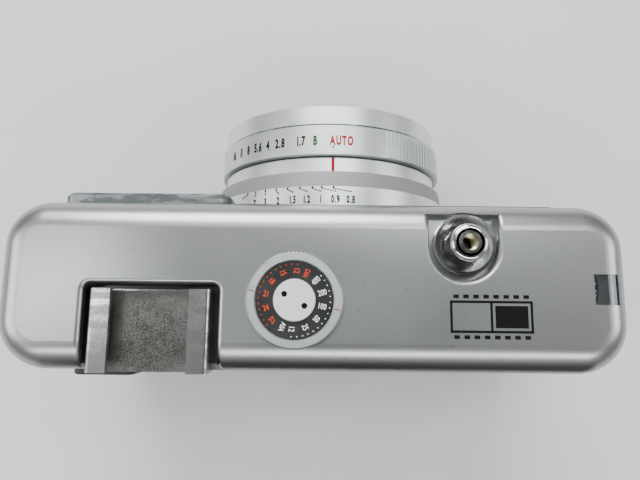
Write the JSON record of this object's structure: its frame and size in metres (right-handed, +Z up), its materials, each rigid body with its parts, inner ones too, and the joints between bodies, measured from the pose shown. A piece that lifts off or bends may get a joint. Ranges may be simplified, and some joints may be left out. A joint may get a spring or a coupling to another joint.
{
  "type": "half frame camera",
  "caption": "Compact half frame film camera with a ring meter lens, film speed dial, accessory shoe, sunk release button and a hinged back.",
  "frame": {"origin": "mouth of the tripod socket, on the base, at the middle of the body in width and depth", "axes": "+X towards the viewfinder end, -Y the way the lens looks, +Z up"},
  "size_m": [0.1102, 0.0531, 0.0682],
  "materials": {
    "satin_cover": "satin chrome plate on pressed brass",
    "ring_metal": "satin anodised",
    "bright": "polished chrome",
    "worn_metal": "worn grey anodised",
    "casting": "black lacquer on die-cast alloy",
    "black_metal": "matt black",
    "blade": "blued steel",
    "spring_steel": "plain",
    "leatherette": "grained black leatherette",
    "black_plastic": "moulded",
    "cell": "dark selenium",
    "glass": "coated"
  },
  "bodies": {
    "body": {"body_casting": "casting", "film_rails": "bright", "top_cover": "satin_cover", "cover_screws": "bright", "base_plate": "satin_cover", "base_screws": "bright", "tripod_bush": "bright", "front_leatherette_left": "leatherette", "front_leatherette_right": "leatherette", "viewfinder_bezel": "worn_metal", "viewfinder_window": "glass", "viewfinder_lens": "glass", "eyepiece_frame": "black_plastic", "eyepiece_lens": "glass", "accessory_shoe": "bright", "front_trim": "black_metal", "counter_window": "glass", "sync_socket": "bright", "hinge_pin": "bright", "speed_post": "bright", "speed_disc": "black_metal", "speed_screw": "bright", "button_guard": "bright", "button_spring": "spring_steel", "focus_mount": "ring_metal"},
    "speed_ring": {"speed_ring": "bright"},
    "shutter_button": {"shutter_button": "bright"},
    "counter_disc": {"counter_disc": "black_metal"},
    "focus_ring": {"focus_ring": "ring_metal", "focus_tab": "ring_metal"},
    "lens_unit": {"index_ring": "ring_metal", "shutter_case": "black_metal", "blade_cover": "black_metal", "front_barrel": "black_metal", "selenium_cell": "cell", "cell_window": "glass", "name_ring": "black_metal", "front_ring": "ring_metal", "front_lens": "glass", "inner_lens": "glass", "rear_lens": "glass"},
    "aperture_ring": {"aperture_ring": "ring_metal"},
    "shutter_blade_1": {"shutter_blade_1": "blade"},
    "shutter_blade_2": {"shutter_blade_2": "blade"},
    "shutter_blade_3": {"shutter_blade_3": "blade"},
    "shutter_blade_4": {"shutter_blade_4": "blade"},
    "shutter_blade_5": {"shutter_blade_5": "blade"},
    "advance_lever": {"advance_lever": "bright"},
    "take_up_spool": {"take_up_spool": "black_plastic"},
    "sprocket": {"sprocket": "black_plastic"},
    "rewind_sleeve": {"rewind_sleeve": "bright"},
    "rewind_knob": {"rewind_knob": "bright", "rewind_shaft": "bright"},
    "rewind_crank": {"rewind_crank": "bright"},
    "rewind_release": {"rewind_release": "bright"},
    "back_door": {"back_door": "casting", "door_leatherette": "leatherette", "pressure_spring": "spring_steel"},
    "pressure_plate": {"pressure_plate": "black_metal"},
    "door_latch": {"door_latch": "bright"}
  },
  "joints": [
    {"name": "shutter_press", "type": "slide", "parent": "body", "child": "shutter_button", "axis": [0, 0, -1], "range_m": [0, 0.0018], "stiffness_N_per_m": 300, "springref_m": -0.003, "deforming": ["button_spring"]},
    {"name": "speed_turn", "type": "hinge", "parent": "body", "child": "speed_ring", "pos_m": [0.0031, 0.00265, 0.066], "axis": [0, 0, 1], "range_deg": [-82.2, 54.8]},
    {"name": "focus_turn", "type": "hinge", "parent": "body", "child": "focus_ring", "pos_m": [-0.0033, -0.0148, 0.0295], "axis": [0, -1, 0], "range_deg": [0, 41.5]},
    {"name": "lens_extension", "type": "slide", "parent": "body", "child": "lens_unit", "axis": [0, 1, 0], "range_m": [0, 0.00133]},
    {"name": "aperture_turn", "type": "hinge", "parent": "lens_unit", "child": "aperture_ring", "pos_m": [-0.0033, -0.0148, 0.0295], "axis": [0, -1, 0], "range_deg": [0, 56]},
    {"name": "blade_1_swing", "type": "hinge", "parent": "lens_unit", "child": "shutter_blade_1", "pos_m": [0.0132, -0.0168, 0.0295], "axis": [0, -1, 0], "range_deg": [-38, 0], "stiffness_Nm_per_rad": 0.0004},
    {"name": "blade_2_swing", "type": "hinge", "parent": "lens_unit", "child": "shutter_blade_2", "pos_m": [0.0018, -0.01702, 0.04519], "axis": [0, -1, 0], "range_deg": [-38, 0]},
    {"name": "blade_3_swing", "type": "hinge", "parent": "lens_unit", "child": "shutter_blade_3", "pos_m": [-0.01665, -0.01724, 0.0392], "axis": [0, -1, 0], "range_deg": [-38, 0]},
    {"name": "blade_4_swing", "type": "hinge", "parent": "lens_unit", "child": "shutter_blade_4", "pos_m": [-0.01665, -0.01746, 0.0198], "axis": [0, -1, 0], "range_deg": [-38, 0]},
    {"name": "blade_5_swing", "type": "hinge", "parent": "lens_unit", "child": "shutter_blade_5", "pos_m": [0.0018, -0.01768, 0.01381], "axis": [0, -1, 0], "range_deg": [-38, 0]},
    {"name": "advance_swing", "type": "hinge", "parent": "body", "child": "advance_lever", "pos_m": [-0.04, 0.001, 0.0015], "axis": [0, 0, 1], "range_deg": [0, 140], "stiffness_Nm_per_rad": 0.01, "springref_deg": -22.92},
    {"name": "spool_turn", "type": "hinge", "parent": "body", "child": "take_up_spool", "pos_m": [-0.04, 0.001, 0.03], "axis": [0, 0, 1], "range_deg": [0, 200]},
    {"name": "sprocket_turn", "type": "hinge", "parent": "body", "child": "sprocket", "pos_m": [-0.024, 0.0036, 0.03], "axis": [0, 0, 1], "range_deg": [0, 181]},
    {"name": "counter_turn", "type": "hinge", "parent": "body", "child": "counter_disc", "pos_m": [-0.043, 0, 0.0623], "axis": [0, 0, 1], "range_deg": [0, 10.5]},
    {"name": "rewind_turn", "type": "hinge", "parent": "body", "child": "rewind_sleeve", "pos_m": [0.0382, 0.0004, 0.004], "axis": [0, 0, 1], "continuous": true},
    {"name": "rewind_pull", "type": "slide", "parent": "rewind_sleeve", "child": "rewind_knob", "axis": [0, 0, -1], "range_m": [0, 0.007]},
    {"name": "crank_fold", "type": "hinge", "parent": "rewind_knob", "child": "rewind_crank", "pos_m": [0.0336, 0.0004, 0.001], "axis": [0, 1, 0], "range_deg": [0, 140]},
    {"name": "rewind_release_press", "type": "slide", "parent": "body", "child": "rewind_release", "axis": [0, 0, 1], "range_m": [0, 0.0015], "stiffness_N_per_m": 200, "springref_m": -0.002},
    {"name": "door_swing", "type": "hinge", "parent": "body", "child": "back_door", "pos_m": [-0.05295, 0.0054, 0.0275], "axis": [0, 0, 1], "range_deg": [0, 110]},
    {"name": "pressure_plate_float", "type": "slide", "parent": "back_door", "child": "pressure_plate", "axis": [0, 1, 0], "range_m": [0, 0.001], "stiffness_N_per_m": 400, "springref_m": -0.003, "deforming": ["pressure_spring"]},
    {"name": "latch_slide", "type": "slide", "parent": "body", "child": "door_latch", "axis": [0, 0, 1], "range_m": [0, 0.003], "stiffness_N_per_m": 150, "springref_m": -0.002}
  ],
  "couplings": [
    {"joint": "lens_extension", "follows": "focus_turn", "m_per_rad": 0.0018362},
    {"joint": "blade_2_swing", "follows": "blade_1_swing", "ratio": 1},
    {"joint": "blade_3_swing", "follows": "blade_1_swing", "ratio": 1},
    {"joint": "blade_4_swing", "follows": "blade_1_swing", "ratio": 1},
    {"joint": "blade_5_swing", "follows": "blade_1_swing", "ratio": 1},
    {"joint": "spool_turn", "follows": "advance_swing", "ratio": 1.41},
    {"joint": "sprocket_turn", "follows": "advance_swing", "ratio": 1.2857},
    {"joint": "counter_turn", "follows": "advance_swing", "ratio": 0.071429}
  ]
}
